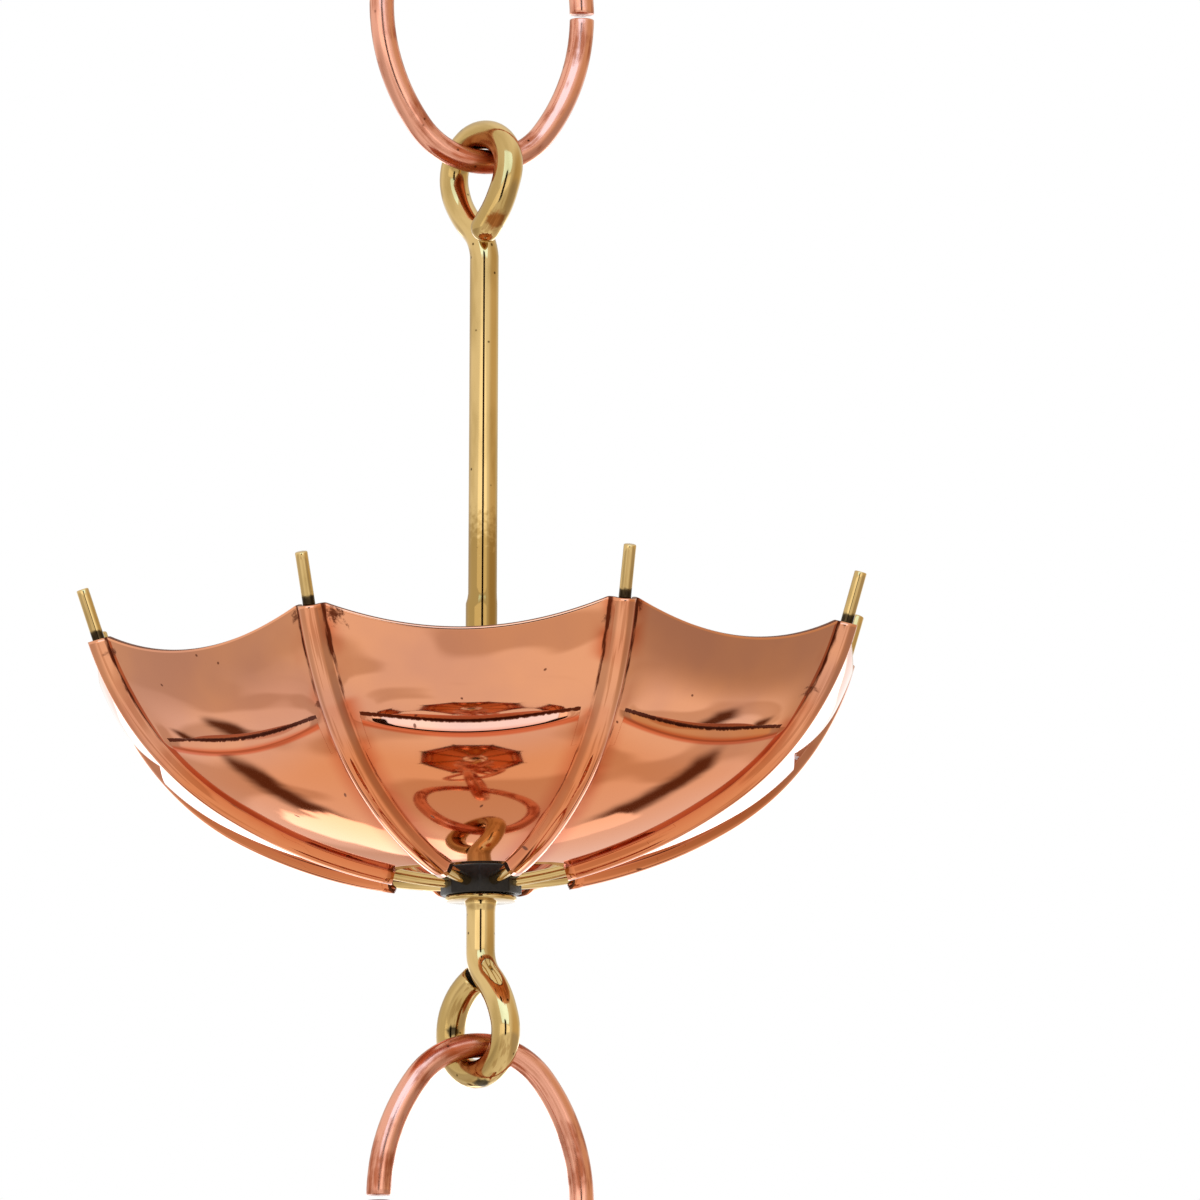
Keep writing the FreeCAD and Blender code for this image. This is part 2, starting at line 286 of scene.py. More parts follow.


# Drawn brass: bright and yellow, clouded in long brown patches, with small dark pits and a few listed marks:
# water marks and grime, and on the stem also painted shade.
def drawn_brass(name, marks):
    """Brass rod with listed marks (water marks and grime, and on the stem also painted shade), each given as its
    place along the rod in mm, its reach in mm and a colour.
    """
    material, tree, shader = new_metal(name)
    rod_place = add_node(tree, "ShaderNodeAttribute", {"attribute_name": "along_rod"}).outputs["Vector"]
    cloud_width_mm = 4.5
    cloud_length_mm = 20.0
    clouded = add_node(tree, "ShaderNodeMapping", {}, {
        "Vector": rod_place,
        "Scale": (1 / cloud_width_mm, 1 / cloud_width_mm, 1 / cloud_length_mm)}).outputs[0]
    clouds = add_node(tree, "ShaderNodeTexNoise", {}, {
        "Vector": clouded, "Scale": 1.0, "Detail": 4.0}).outputs[0]
    cloud = add_node(tree, "ShaderNodeMapRange", {"interpolation_type": "SMOOTHSTEP"}, {
        "Value": clouds, "From Min": 0.40, "From Max": 0.68}).outputs[0]
    tone = add_node(tree, "ShaderNodeMix", {"data_type": "RGBA"}, {
        0: cloud, 6: rgb("#CBAC72"), 7: rgb("#AC8E56")}).outputs[2]
    grain_mm = 1.1
    grain = add_node(tree, "ShaderNodeTexNoise", {}, {
        "Vector": rod_place, "Scale": 1 / grain_mm, "Detail": 3.0}).outputs[0]
    for place_mm, reach_mm, colour in marks:
        distance = add_node(tree, "ShaderNodeVectorMath", {"operation": "DISTANCE"}, {
            0: rod_place, 1: place_mm})
        ragged = add_node(tree, "ShaderNodeMath", {"operation": "MULTIPLY_ADD"}, {
            0: grain, 1: reach_mm, 2: distance.outputs["Value"]}).outputs[0]
        mark = add_node(tree, "ShaderNodeMapRange", {"interpolation_type": "SMOOTHSTEP"}, {
            "Value": ragged, "From Min": reach_mm, "From Max": 1.5 * reach_mm,
            "To Min": 0.9, "To Max": 0.0}).outputs[0]
        tone = add_node(tree, "ShaderNodeMix", {"data_type": "RGBA"}, {
            0: mark, 6: tone, 7: rgb(colour)}).outputs[2]
    pit_spacing_mm = 3.4
    pits = add_node(tree, "ShaderNodeTexVoronoi", {}, {"Vector": rod_place, "Scale": 1 / pit_spacing_mm})
    pit = add_node(tree, "ShaderNodeMapRange", {}, {
        "Value": pits.outputs["Distance"], "From Min": 0.05, "From Max": 0.1,
        "To Min": 1.0, "To Max": 0.0}).outputs[0]
    tree.links.new(add_node(tree, "ShaderNodeMix", {"data_type": "RGBA"}, {
        0: pit, 6: tone, 7: rgb("#5A4520")}).outputs[2], shader.inputs["Base Color"])
    tree.links.new(add_node(tree, "ShaderNodeMapRange", {}, {
        "Value": cloud, "To Min": 0.05, "To Max": 0.11}).outputs[0], shader.inputs["Roughness"])
    return material


# The upper stem's marks, from the hook's end to the eye's: black painted shade in and under the hook, painted
# shade under the washer, a brown stretch above the cup, a pit on the eye and an orange stain near the eye's end.
# Painted shade: the first two black marks darken the hook where its end tucks in by the neck and under its bend,
# and the #4A3A20 mark darkens the neck just under the washer. The black mark on the eye is a real pit.
black_pit_and_painted_shade = "#1E1A14"
stem_marks = [((38.5, -2.2, 12.6), 1.6, black_pit_and_painted_shade), ((38.7, 2.5, 27.9), 1.6, black_pit_and_painted_shade),
              ((38.1, 2.0, 66.3), 0.7, "#4A3A20"), ((38.5, 0.5, 127.0), 17.0, "#9A7A42"),
              ((38.1, -2.0, 220.4), 0.6, black_pit_and_painted_shade), ((39.2, -2.7, 247.3), 2.4, "#8E4E1C")]
stem_brass = drawn_brass("drawn brass rod", stem_marks)
sawn_brass, tree, shader = new_metal("sawn brass end")
shader.inputs["Roughness"].default_value = 0.5
sawn_place = add_node(tree, "ShaderNodeAttribute", {"attribute_name": "along_rod"}).outputs["Vector"]
saw_mm = 0.7
saw_marks = add_node(tree, "ShaderNodeTexNoise", {}, {
    "Vector": sawn_place, "Scale": 1 / saw_mm, "Detail": 2.0}).outputs[0]
tree.links.new(add_node(tree, "ShaderNodeMix", {"data_type": "RGBA"}, {
    0: saw_marks, 6: rgb("#33291B"), 7: rgb("#0F0C0A")}).outputs[2], shader.inputs["Base Color"])

flare_sine = math.sin(math.radians(loop_flare))
flare_cosine = math.cos(math.radians(loop_flare))
loop_lean = math.degrees(math.acos((loop_neck_radius + (loop_side_radius - loop_radius) * flare_cosine)
                                   / (loop_neck_radius + loop_side_radius)))
lean_sine = math.sin(math.radians(loop_lean))
loop_middle = (loop_neck_radius * lean_sine + loop_side_radius * (lean_sine - flare_sine)
               + loop_radius * flare_sine)
loop_top = loop_middle + loop_radius
loop_height = loop_top + stem_radius
hook_bottom = -washer_thickness - hook_drop
neck_low = hook_bottom + loop_height
neck_high = hook_bottom + stem_length - loop_height
curl_across = hook_end_radius * (1 - math.cos(math.radians(hook_end_turn)))
curl_rise = hook_end_radius * math.sin(math.radians(hook_end_turn))
hook_heading = -90 - hook_end_turn
hook_end = (curl_across - loop_radius - hook_end_length * math.cos(math.radians(hook_heading)),
            neck_low - loop_middle + curl_rise - hook_end_length * math.sin(math.radians(hook_heading)))
half_bow = (loop_radius, -90 - loop_flare)
loop_side = (loop_side_radius, loop_flare - loop_lean)
hook_runs = [(hook_end_length, 0), (hook_end_radius, hook_end_turn), (loop_radius, 180 + loop_flare),
             (loop_side_radius, loop_lean - loop_flare), (loop_neck_radius, -loop_lean)]
eye_runs = [(loop_neck_radius, loop_lean), loop_side, half_bow, half_bow, loop_side, (eye_end_length, 0)]
eye_closing = (math.radians(90 + loop_flare) * loop_radius
               + math.radians(loop_lean - loop_flare) * loop_side_radius + eye_end_length)
hook_curl = hook_end_length + math.radians(hook_end_turn) * hook_end_radius
for number, turn in enumerate(stem_turns, start=1):
    body = "umbrella_%d" % number
    runs = hook_runs + [(neck_high - neck_low, 0)] + eye_runs
    bm = swept_rod(stem_radius, hook_end, hook_heading, runs, stem_sides, stem_step, domed=True)
    along_rod = bm.verts.layers.float_vector["along_rod"]
    rod_length = sum(size * (math.radians(abs(bend)) if bend else 1) for size, bend in runs)
    eye_top = Matrix.Translation((0, 0, neck_high + loop_top))
    unturned = Matrix.Rotation(math.radians(-turn), 3, "Z")
    seen_left = unturned @ Vector((-1, 0, 0))
    seen_back = unturned @ Vector((0, 1, 0))
    for vert in bm.verts:
        closed = (vert[along_rod].z * mm - rod_length + eye_closing) / eye_closing
        if closed > 0:
            eased = min(1, closed) ** eye_end_ease
            aside = Matrix.Rotation(math.radians(eye_end_aside) * eased, 4, seen_left)
            vert.co = eye_top @ aside @ eye_top.inverted() @ vert.co
        hooked = min(1, max(0, neck_low - vert.co.z) / loop_set_length)
        risen = min(1, max(0, vert.co.z - neck_high) / loop_set_length)
        vert.co += seen_left * (hook_set * hooked + eye_set * risen - stem_tilt * vert.co.z)
        vert.co.z -= eye_settle * risen
        curled = max(0, 1 - vert[along_rod].z * mm / hook_curl)
        vert.co += seen_back * hook_end_back * curled**2
        across = Vector((vert.co.x, vert.co.y, 0))
        below_crimp_top = (crimp_top - vert.co.z) / crimp_length
        if 0 < below_crimp_top < 1:
            bulge = crimp_bulge * min(1, crimp_rise * below_crimp_top, crimp_fall * (1 - below_crimp_top))
            vert.co += across.normalized() * bulge * max(crimp_far_side, across.normalized().dot(seen_left))
        below_washer = -washer_thickness - vert.co.z
        if 0 <= below_washer <= shoulder_height:
            vert.co += across * shoulder_swell * (1 - below_washer / shoulder_height)
        vert[along_rod].x += pattern_shift_mm * number
    for face in bm.faces:
        if len(face.verts) > 4 and all(vert[along_rod].z < sawn_depth_mm for vert in face.verts):
            face.material_index = 1
    place = on_axis(turn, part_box(body + "_washer")[1][2])
    place_piece(bm, body + "_rod", place, [stem_brass, sawn_brass], body, body + "_stem")


# Canopies: one copper sheet each, pressed over a former into eight gores with a round channel along every
# fold and a crease across every gore, trimmed to a scalloped rim and polished to a mirror. Water has left
# brown stains along the channels and creases, and painted shade darkens the creases and their feet.
gore_count = 8
sheet = 0.8 * mm
crown_radius = 104.0 * mm
crown_slope = math.radians(29.4)
skirt_radius = 57.5 * mm
rim_slope = math.radians(71.6)
opening_radius = 18.0 * mm
gore_bow_axis = 70.0 * mm
gore_bow_start = math.radians(15.0)
scallop_depth = 5.3 * mm
rim_flat = 6.0 * mm
channel_radius = 2.25 * mm
channel_fillet = 0.5 * mm
crease_depth = 2.1 * mm
crease_upper = 14.0 * mm
crease_lower = 1.35 * mm
crease_slope = math.radians(44.5)
crease_half_length = 20.8 * mm
crease_rise = 4.2 * mm
crease_foot_round = 0.25
hub_half_across = 7.3 * mm
hub_height = 5.5 * mm
canopy_turn = -90.8
canopy_leans = [1.2, 0.0]
half_gore = math.pi / gore_count
hub_corner = hub_half_across / math.cos(half_gore)


def on_hub(number, turn):
    """The place of a piece of a cup, which leans with its hub on the washer."""
    lean = math.radians(canopy_leans[number - 1])
    washer_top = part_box("umbrella_%d_washer" % number)[1][2]
    hub_middle = Matrix.Translation((0, 0, hub_height / 2))
    leaned = hub_middle @ Matrix.Rotation(-lean, 4, "Y") @ hub_middle.inverted()
    return on_axis(0, washer_top + hub_corner * math.sin(lean)) @ leaned @ on_axis(turn, 0)


def rib_point(slope):
    """Radius and height of the fold between two gores, where it has a slope."""
    if slope <= crown_slope:
        return crown_radius * math.sin(slope), crown_radius * (1 - math.cos(slope)) + channel_radius
    radius = (crown_radius - skirt_radius) * math.sin(crown_slope) + skirt_radius * math.sin(slope)
    height = (crown_radius - (crown_radius - skirt_radius) * math.cos(crown_slope)
              - skirt_radius * math.cos(slope))
    return radius, height + channel_radius


def pressed(distance, radius, proud, fillet):
    """Height of a round bar pressed out of a sheet, at a distance from the bar's middle line."""
    depth = proud - radius
    reach = (radius + fillet) ** 2 - (fillet - depth) ** 2
    if reach <= 0 or distance >= math.sqrt(reach):
        return 0.0
    foot = math.sqrt(reach)
    if distance < foot * radius / (radius + fillet):
        return depth + math.sqrt(radius**2 - distance**2)
    return fillet - math.sqrt(fillet**2 - (foot - distance) ** 2)


def creased(above, depth):
    """Depth of a crease pressed into a gore, with a steep lower side and a long upper shoulder."""
    if 0 <= above < crease_upper:
        return depth * (1 - above / crease_upper) ** 2
    below = -above / crease_lower
    if 0 < below < 1 - crease_foot_round:
        return depth * (1 - below)
    if 1 - crease_foot_round <= below < 1 + crease_foot_round:
        return depth * (1 + crease_foot_round - below) ** 2 / (4 * crease_foot_round)
    return 0.0


rim_radius, rim_height = rib_point(rim_slope)
skirt_middle_height = rim_height + skirt_radius * math.cos(rim_slope)
scallop_half_chord = rim_radius * math.sin(half_gore) - rim_flat / 2
scallop_radius = (scallop_half_chord**2 + scallop_depth**2) / (2 * scallop_depth)


def rim_slope_at(across):
    """Slope at which a gore is trimmed, at a distance from its middle."""
    drop = 0.0
    if across < scallop_half_chord:
        drop = scallop_depth - scallop_radius + math.sqrt(scallop_radius**2 - across**2)
    return math.acos((skirt_middle_height - rim_height + drop) / skirt_radius)



across_count = 56
along_count = 96
press_rounds = 3
channel_share = 10 / 28
channel_reach = 3.2 * mm
crease_band = math.radians(13.5)
crease_rows = (0.22, 0.86)
row_evenness = 0.2
clear_of_crease_mm = 40.0


def press_gore(vert, layer):
    """Move a point of a flat square from -1 to 1 to its place on the gore that faces along X."""
    side = math.copysign(1, vert.co.x)
    inward = 1 - abs(vert.co.x)
    row = (vert.co.y + 1) / 2
    share = 1 - inward
    for i in range(press_rounds):
        start_radius = opening_radius / math.hypot(math.cos(half_gore), share * math.sin(half_gore))
        start_slope = math.asin(start_radius / crown_radius)
        end_slope = rim_slope_at(share * rim_radius * math.sin(half_gore))
        along = share * rib_point(crease_slope)[0] * math.sin(half_gore) / crease_half_length
        crease_at = crease_slope + crease_rise * along**2 / skirt_radius
        if row < crease_rows[0]:
            slope = start_slope + (crease_at - crease_band - start_slope) * row / crease_rows[0]
        elif row < crease_rows[1]:
            part = 2 * (row - crease_rows[0]) / (crease_rows[1] - crease_rows[0]) - 1
            slope = crease_at + crease_band * (row_evenness * part + (1 - row_evenness) * part**3)
        else:
            part = (row - crease_rows[1]) / (1 - crease_rows[1])
            slope = crease_at + crease_band + (end_slope - crease_at - crease_band) * part
        radius, height = rib_point(slope)
        half_width = radius * math.sin(half_gore)
        if inward < channel_share:
            from_rib = channel_reach * inward / channel_share
        else:
            part = (inward - channel_share) / (1 - channel_share)
            from_rib = channel_reach + (half_width - channel_reach) * part
        share = 1 - from_rib / half_width
    across = share * half_width
    bow_share = max(0, (slope - gore_bow_start) / (rim_slope - gore_bow_start))
    bow_axis = gore_bow_axis * bow_share**2
    bow_radius = math.hypot(math.cos(half_gore) * radius + bow_axis, half_width)
    bow_angle = math.asin(across / bow_radius)
    gore_slope = math.atan2(math.sin(slope), math.cos(half_gore) * math.cos(slope))
    gore_out = Vector((math.sin(gore_slope) * math.cos(bow_angle),
                       side * math.sin(gore_slope) * math.sin(bow_angle), -math.cos(gore_slope)))
    rib_out = Vector((math.sin(slope) * math.cos(half_gore), side * math.sin(slope) * math.sin(half_gore),
                      -math.cos(slope)))
    out = rib_out.lerp(gore_out, min(1, from_rib / channel_reach)).normalized()
    above = (slope - crease_at) * skirt_radius
    channel = pressed(from_rib, channel_radius, channel_radius, channel_fillet)
    crease = creased(above, crease_depth * max(0, 1 - along**4))
    flat = Vector((bow_radius * math.cos(bow_angle) - bow_axis, side * across, height))
    vert.co = flat + out * (channel or -crease)
    from_rim = (end_slope - slope) * skirt_radius
    above_mm = above / mm if along < 1 else clear_of_crease_mm
    vert[layer] = Vector((from_rib / mm, above_mm, from_rim / mm))


# Polished copper: a pink-tan mirror with faint brown clouds, orange tarnish beside the channels, broken dark
# lines at the feet of channels where water dries, broken dark lines in the creases that are painted shade and
# dried water together, a painted orange-red shade at the foot of each crease, and single dark specks.
polished_copper, tree, shader = new_metal("polished copper sheet")
object_place = add_node(tree, "ShaderNodeTexCoord").outputs["Object"]
press_place = add_node(tree, "ShaderNodeSeparateXYZ", {}, {
    0: add_node(tree, "ShaderNodeAttribute", {"attribute_name": "from_pressing"}).outputs["Vector"]})
streak_place = add_node(tree, "ShaderNodeAttribute", {"attribute_name": "along_rib"}).outputs["Vector"]
tone_mm = 26.0
tones = add_node(tree, "ShaderNodeTexNoise", {}, {
    "Vector": object_place, "Scale": 1 / (tone_mm * mm), "Detail": 3.0}).outputs[0]
tone_share = add_node(tree, "ShaderNodeMapRange", {"interpolation_type": "SMOOTHSTEP"}, {
    "Value": tones, "From Min": 0.36, "From Max": 0.66}).outputs[0]
tone = add_node(tree, "ShaderNodeMix", {"data_type": "RGBA"}, {
    0: tone_share, 6: rgb("#D8946C"), 7: rgb("#C98A6C")}).outputs[2]
lower_gore = add_node(tree, "ShaderNodeMapRange", {"interpolation_type": "SMOOTHSTEP"}, {
    "Value": press_place.outputs["Z"], "From Min": 21.0, "From Max": 34.0}).outputs[0]
tone = add_node(tree, "ShaderNodeMix", {"data_type": "RGBA"}, {
    0: lower_gore, 6: tone, 7: rgb("#D08254")}).outputs[2]
stretch_mm = 12.0
stretches = add_node(tree, "ShaderNodeTexNoise", {}, {
    "Vector": object_place, "Scale": 1 / (stretch_mm * mm), "Detail": 2.0}).outputs[0]
stretch = add_node(tree, "ShaderNodeMapRange", {"interpolation_type": "SMOOTHSTEP"}, {
    "Value": stretches, "From Min": 0.42, "From Max": 0.62}).outputs[0]
tarnish_reach_mm = 6.5
beside_rib = add_node(tree, "ShaderNodeMapRange", {"interpolation_type": "SMOOTHSTEP"}, {
    "Value": press_place.outputs["X"], "From Min": 2.0, "From Max": tarnish_reach_mm,
    "To Min": 0.85, "To Max": 0.0}).outputs[0]
lower_gore_tarnish = 0.75
low_stretch = add_node(tree, "ShaderNodeMath", {"operation": "MAXIMUM"}, {
    0: stretch, 1: add_node(tree, "ShaderNodeMath", {"operation": "MULTIPLY"}, {
        0: lower_gore, 1: lower_gore_tarnish}).outputs[0]}).outputs[0]
off_crest = add_node(tree, "ShaderNodeMapRange", {"interpolation_type": "SMOOTHSTEP"}, {
    "Value": press_place.outputs["X"], "From Min": 1.6, "From Max": 2.8,
    "To Min": 0.25, "To Max": 1.0}).outputs[0]
tarnish = add_node(tree, "ShaderNodeMath", {"operation": "MULTIPLY"}, {
    0: beside_rib, 1: add_node(tree, "ShaderNodeMath", {"operation": "MULTIPLY"}, {
        0: low_stretch, 1: off_crest}).outputs[0]}).outputs[0]
sheet_colour = add_node(tree, "ShaderNodeMix", {"data_type": "RGBA"}, {
    0: tarnish, 6: tone, 7: rgb("#BA5228")}).outputs[2]
# Painted shade: an orange-red band along the foot of each crease, where the steep lower side meets the sheet.
crease_foot_mm = -1.7
crease_foot_painted_shade = add_node(tree, "ShaderNodeMapRange", {"interpolation_type": "SMOOTHSTEP"}, {
    "Value": add_node(tree, "ShaderNodeMath", {"operation": "ABSOLUTE"}, {
        0: add_node(tree, "ShaderNodeMath", {"operation": "SUBTRACT"}, {
            0: press_place.outputs["Y"], 1: crease_foot_mm}).outputs[0]}).outputs[0],
    "From Min": 0.3, "From Max": 1.0, "To Min": 0.8, "To Max": 0.0}).outputs[0]
sheet_colour = add_node(tree, "ShaderNodeMix", {"data_type": "RGBA"}, {
    0: crease_foot_painted_shade, 6: sheet_colour, 7: rgb("#C24E22")}).outputs[2]
streak_width_mm = 0.6
streak_length_mm = 5.0
streaked = add_node(tree, "ShaderNodeMapping", {}, {
    "Vector": streak_place, "Scale": (1 / streak_width_mm, 1 / streak_length_mm, 0.0)}).outputs[0]
streaks = add_node(tree, "ShaderNodeTexNoise", {}, {
    "Vector": streaked, "Scale": 1.0, "Detail": 4.0, "Roughness": 0.6}).outputs[0]
channel_foot_mm = 2.7
channel_line = add_node(tree, "ShaderNodeMapRange", {"interpolation_type": "SMOOTHSTEP"}, {
    "Value": add_node(tree, "ShaderNodeMath", {"operation": "ABSOLUTE"}, {
        0: add_node(tree, "ShaderNodeMath", {"operation": "SUBTRACT"}, {
            0: press_place.outputs["X"], 1: channel_foot_mm}).outputs[0]}).outputs[0],
    "From Min": 0.0, "From Max": 1.0, "To Min": 1.0, "To Max": 0.0}).outputs[0]
near_rim = add_node(tree, "ShaderNodeMapRange", {"interpolation_type": "SMOOTHSTEP"}, {
    "Value": press_place.outputs["Z"], "From Min": 2.0, "From Max": 24.0,
    "To Min": 1.0, "To Max": 0.55}).outputs[0]
rib_stain = add_node(tree, "ShaderNodeMath", {"operation": "MULTIPLY"}, {
    0: channel_line, 1: near_rim}).outputs[0]
# Painted shade: a dark line along the bottom of each crease, broken by the same streaks as the water stains, so
# it stands for shade and dried water together.
crease_line_mm = 0.3
crease_shade_and_stain_line = add_node(tree, "ShaderNodeMapRange", {"interpolation_type": "SMOOTHSTEP"}, {
    "Value": add_node(tree, "ShaderNodeMath", {"operation": "ABSOLUTE"}, {
        0: add_node(tree, "ShaderNodeMath", {"operation": "SUBTRACT"}, {
            0: press_place.outputs["Y"], 1: crease_line_mm}).outputs[0]}).outputs[0],
    "From Min": 0.15, "From Max": 0.8, "To Min": 1.2, "To Max": 0.0}).outputs[0]
lines = add_node(tree, "ShaderNodeMath", {"operation": "MAXIMUM"}, {0: rib_stain, 1: crease_shade_and_stain_line}).outputs[0]
stain_and_shade_level = add_node(tree, "ShaderNodeMath", {"operation": "MULTIPLY"}, {0: lines, 1: streaks}).outputs[0]
stain_and_shade = add_node(tree, "ShaderNodeMapRange", {"interpolation_type": "SMOOTHSTEP"}, {
    "Value": stain_and_shade_level, "From Min": 0.22, "From Max": 0.44}).outputs[0]
speck_spacing_mm = 22.0
specks = add_node(tree, "ShaderNodeTexVoronoi", {"voronoi_dimensions": "2D"}, {
    "Vector": streak_place, "Scale": 1 / speck_spacing_mm})
speck = add_node(tree, "ShaderNodeMapRange", {}, {
    "Value": specks.outputs["Distance"], "From Min": 0.009, "From Max": 0.016,
    "To Min": 0.8, "To Max": 0.0}).outputs[0]
marked = add_node(tree, "ShaderNodeMath", {"operation": "MAXIMUM"}, {0: stain_and_shade, 1: speck}).outputs[0]
grime_mm = 1.3
grime = add_node(tree, "ShaderNodeTexNoise", {}, {
    "Vector": streak_place, "Scale": 1 / grime_mm, "Detail": 5.0, "Roughness": 0.7}).outputs[0]
rib_shift_mm = 100.0
# Spots of grime beside single ribs: place by the layer along_rib, reach in mm and strength.
grime_spots = [((704.5, 1.5, 0), 4.5, 0.95), ((696.6, 2.0, 0), 2.5, 0.8), ((3.2, 1.0, 0), 2.5, 0.9),
               ((-3.0, 4.0, 0), 2.0, 0.7), ((103.0, 2.0, 0), 3.0, 0.8), ((96.5, 14.0, 0), 3.0, 0.7),
               ((603.5, 3.0, 0), 3.0, 0.8), ((697.0, 20.0, 0), 2.2, 0.8)]
for place_mm, reach_mm, strength in grime_spots:
    distance = add_node(tree, "ShaderNodeVectorMath", {"operation": "DISTANCE"}, {
        0: streak_place, 1: place_mm})
    ragged = add_node(tree, "ShaderNodeMath", {"operation": "MULTIPLY_ADD"}, {
        0: grime, 1: 2.2 * reach_mm, 2: distance.outputs["Value"]}).outputs[0]
    spot = add_node(tree, "ShaderNodeMapRange", {"interpolation_type": "SMOOTHSTEP"}, {
        "Value": ragged, "From Min": 1.15 * reach_mm, "From Max": 1.6 * reach_mm,
        "To Min": strength, "To Max": 0.0}).outputs[0]
    marked = add_node(tree, "ShaderNodeMath", {"operation": "MAXIMUM"}, {0: marked, 1: spot}).outputs[0]
tree.links.new(add_node(tree, "ShaderNodeMix", {"data_type": "RGBA"}, {
    0: marked, 6: sheet_colour, 7: rgb("#55210F")}).outputs[2], shader.inputs["Base Color"])
tree.links.new(add_node(tree, "ShaderNodeMapRange", {}, {
    "Value": marked, "To Min": 0.05, "To Max": 0.35}).outputs[0], shader.inputs["Roughness"])

cut_copper, tree, shader = new_metal("sheared copper edge")
shader.inputs["Roughness"].default_value = 0.45
shear_mm = 1.5
shears = add_node(tree, "ShaderNodeTexNoise", {}, {
    "Vector": add_node(tree, "ShaderNodeTexCoord").outputs["Object"], "Scale": 1 / (shear_mm * mm)}).outputs[0]
tree.links.new(add_node(tree, "ShaderNodeMix", {"data_type": "RGBA"}, {
    0: shears, 6: rgb("#7E4830"), 7: rgb("#583020")}).outputs[2], shader.inputs["Base Color"])

dent_mm = 19.0
dent_depth = 0.10 * mm
dent_shift = 7.0
seam_merge = 0.02 * mm
gore_angle = 2 * math.pi / gore_count
for number in (1, 2):
    body = "umbrella_%d" % number
    bm = bmesh.new()
    from_pressing = bm.verts.layers.float_vector.new("from_pressing")
    along_rib = bm.verts.layers.float_vector.new("along_rib")
    bmesh.ops.create_grid(bm, x_segments=across_count, y_segments=along_count, size=1.0)
    for vert in bm.verts:
        press_gore(vert, from_pressing)
    bmesh.ops.spin(bm, geom=bm.verts[:] + bm.edges[:] + bm.faces[:], cent=(0, 0, 0), axis=(0, 0, 1),
                   angle=gore_angle * (gore_count - 1), steps=gore_count - 1, use_duplicate=True)
    bmesh.ops.remove_doubles(bm, verts=bm.verts, dist=seam_merge)
    bmesh.ops.recalc_face_normals(bm, faces=bm.faces)
    bm.normal_update()
    if sum(face.normal.z * face.calc_area() for face in bm.faces) > 0:
        bmesh.ops.reverse_faces(bm, faces=bm.faces)
        bm.normal_update()
    for vert in bm.verts:
        past_middle = math.atan2(vert.co.y, vert.co.x) % (2 * math.pi) / gore_angle
        rib = math.floor(past_middle)
        aside = math.copysign(vert[from_pressing].x, past_middle - rib - 0.5)
        vert[along_rib] = Vector((rib_shift_mm * rib + aside, vert[from_pressing].z, 0))
        dent_place = vert.co / (dent_mm * mm) + Vector((0, 0, dent_shift * number))
        vert.co += vert.normal * dent_depth * noise.noise(dent_place)
    piece = place_piece(bm, body + "_pressed_sheet", on_hub(number, canopy_turn), [polished_copper, cut_copper],
                        body, body + "_canopy")
    wall = piece.modifiers.new("sheet", "SOLIDIFY")
    wall.thickness = sheet
    wall.offset = -1.0
    wall.material_offset_rim = 1


# Ribs: thin brass rods that lie in the canopy's channels. Their inner ends sit in the hub, and their cut tips
# stand past the rim, with black grime where they leave the sheet.
rib_radius = 1.2 * mm
rib_sides = 18
rib_step = 1.5 * mm
rib_tip = 10.0 * mm
rib_root_radius = 4.7 * mm
rib_root_slope = math.asin(rib_root_radius / crown_radius)
rib_runs = [(crown_radius, math.degrees(crown_slope - rib_root_slope)),
            (skirt_radius, math.degrees(rim_slope - crown_slope)), (rib_tip, 0)]
rim_along = crown_radius * (crown_slope - rib_root_slope) + skirt_radius * (rim_slope - crown_slope)
grime_count = 6
grime_past_rim_mm = 0.6
grime_reach_mm = 1.5
rib_marks = []
for i in range(grime_count):
    round_rib = math.radians(360 / grime_count * i)
    grime_place_mm = (rib_radius / mm * math.cos(round_rib), rib_radius / mm * math.sin(round_rib),
                      rim_along / mm + grime_past_rim_mm)
    rib_marks.append((grime_place_mm, grime_reach_mm, "#2E2418"))
rib_brass = drawn_brass("drawn brass rib wire", rib_marks)
for number in (1, 2):
    body = "umbrella_%d" % number
    for i in range(gore_count):
        bm = swept_rod(rib_radius, rib_point(rib_root_slope), math.degrees(rib_root_slope), rib_runs,
                       rib_sides, rib_step)
        turn = canopy_turn + math.degrees(half_gore) * (2 * i + 1)
        node = body + "_rib_%d" % (i + 1)
        place_piece(bm, node + "_rod", on_hub(number, turn), [rib_brass], body, node)


# Hubs: solid eight-sided blocks of blackened steel, which the stem and the ribs pass into. Each is slid on to its
# stem before the crimp is made, and rests on the washer. The black finish keeps a blue-grey sheen and fine grit.
hub_edge = 0.35 * mm
black_steel, tree, shader = new_metal("blackened steel")
shader.inputs["Metallic"].default_value = 0.6
grit_mm = 0.8
grit = add_node(tree, "ShaderNodeTexNoise", {}, {
    "Vector": add_node(tree, "ShaderNodeTexCoord").outputs["Object"],
    "Scale": 1 / (grit_mm * mm), "Detail": 3.0}).outputs[0]
tree.links.new(add_node(tree, "ShaderNodeMix", {"data_type": "RGBA"}, {
    0: grit, 6: rgb("#110E0B"), 7: rgb("#302A24")}).outputs[2], shader.inputs["Base Color"])
tree.links.new(add_node(tree, "ShaderNodeMapRange", {}, {
    "Value": grit, "To Min": 0.25, "To Max": 0.5}).outputs[0], shader.inputs["Roughness"])
for number in (1, 2):
    body = "umbrella_%d" % number
    bm = bmesh.new()
    bmesh.ops.create_cone(bm, cap_ends=True, segments=gore_count, radius1=hub_corner, radius2=hub_corner,
                          depth=hub_height, matrix=Matrix.Translation((0, 0, hub_height / 2)))
    bmesh.ops.rotate(bm, verts=bm.verts, cent=(0, 0, 0), matrix=Matrix.Rotation(half_gore, 3, "Z"))
    bmesh.ops.bevel(bm, geom=bm.edges[:], offset=hub_edge, segments=2, affect="EDGES", profile=0.5, material=-1)
    place = on_hub(number, canopy_turn + math.degrees(half_gore))
    place_piece(bm, body + "_hub_block", place, [black_steel], body, body + "_hub")


